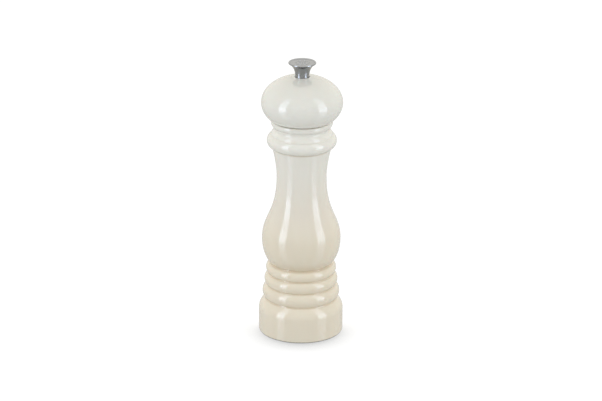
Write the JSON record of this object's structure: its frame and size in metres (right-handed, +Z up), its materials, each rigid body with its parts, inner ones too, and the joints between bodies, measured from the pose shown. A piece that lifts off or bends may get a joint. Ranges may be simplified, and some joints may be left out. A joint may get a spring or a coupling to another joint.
{
  "type": "pepper mill",
  "caption": "Turned pepper mill: rounded head on a waisted body with a collar and beaded base, square steel shaft, ceramic burr and a flared knob that sets the grind.",
  "frame": {"origin": "centre of the base, on the table", "axes": "+Z up along the mill's axis; X and Y are level, and two sides of the square shaft face X"},
  "size_m": [0.063, 0.063, 0.21],
  "materials": {
    "cream_enamel": "high gloss, shaded from off-white at the top to warm cream at the foot",
    "white_enamel": "high gloss off-white",
    "clear_plastic": "natural translucent polypropylene",
    "white_plastic": "natural acetal, satin",
    "dark_plastic": "fine satin moulded",
    "grey_plastic": "glass-filled, matt",
    "ceramic": "fired, unglazed",
    "steel": "drawn stainless",
    "screw_steel": "bright zinc plated",
    "spring_steel": "drawn wire",
    "knob_metal": "satin cast alloy",
    "brass": "machined"
  },
  "bodies": {
    "body": {"body_shell": "cream_enamel", "hopper_tube": "clear_plastic", "mouth_ring": "white_plastic", "grinder_housing": "dark_plastic", "bearing_bridge": "grey_plastic", "burr_stator": "ceramic", "stator_retainer": "dark_plastic", "housing_screw_1": "screw_steel", "housing_screw_2": "screw_steel", "housing_screw_3": "screw_steel", "retainer_screw_1": "screw_steel", "retainer_screw_2": "screw_steel", "retainer_screw_3": "screw_steel"},
    "bush": {"shaft_bush": "white_plastic", "rotor_spring": "spring_steel"},
    "spindle": {"drive_shaft": "steel", "burr_rotor": "ceramic", "rotor_washer": "screw_steel", "rotor_screw": "screw_steel"},
    "head": {"head_shell": "white_enamel", "head_insert": "white_plastic", "drive_plate": "steel", "drive_plate_screw_1": "screw_steel", "drive_plate_screw_2": "screw_steel"},
    "seat_washer": {"knob_washer": "dark_plastic"},
    "knob": {"adjust_knob": "knob_metal", "knob_insert": "brass"}
  },
  "joints": [
    {"name": "grind_turn", "type": "hinge", "parent": "body", "child": "bush", "pos_m": [0, 0, 0.0389], "axis": [0, 0, 1], "continuous": true},
    {"name": "grind_adjust", "type": "slide", "parent": "bush", "child": "spindle", "axis": [0, 0, -1], "range_m": [0, 0.0016], "deforming": ["rotor_spring"]},
    {"name": "head_lift", "type": "slide", "parent": "bush", "child": "head", "axis": [0, 0, 1], "range_m": [0, 0.065]},
    {"name": "knob_lift", "type": "slide", "parent": "head", "child": "seat_washer", "axis": [0, 0, 1], "range_m": [0, 0.02]},
    {"name": "knob_turn", "type": "hinge", "parent": "seat_washer", "child": "knob", "pos_m": [0, 0, 0.1987], "axis": [0, 0, 1], "range_deg": [0, 720]}
  ],
  "couplings": [
    {"joint": "knob_turn", "follows": "grind_adjust", "rad_per_m": 7854}
  ]
}
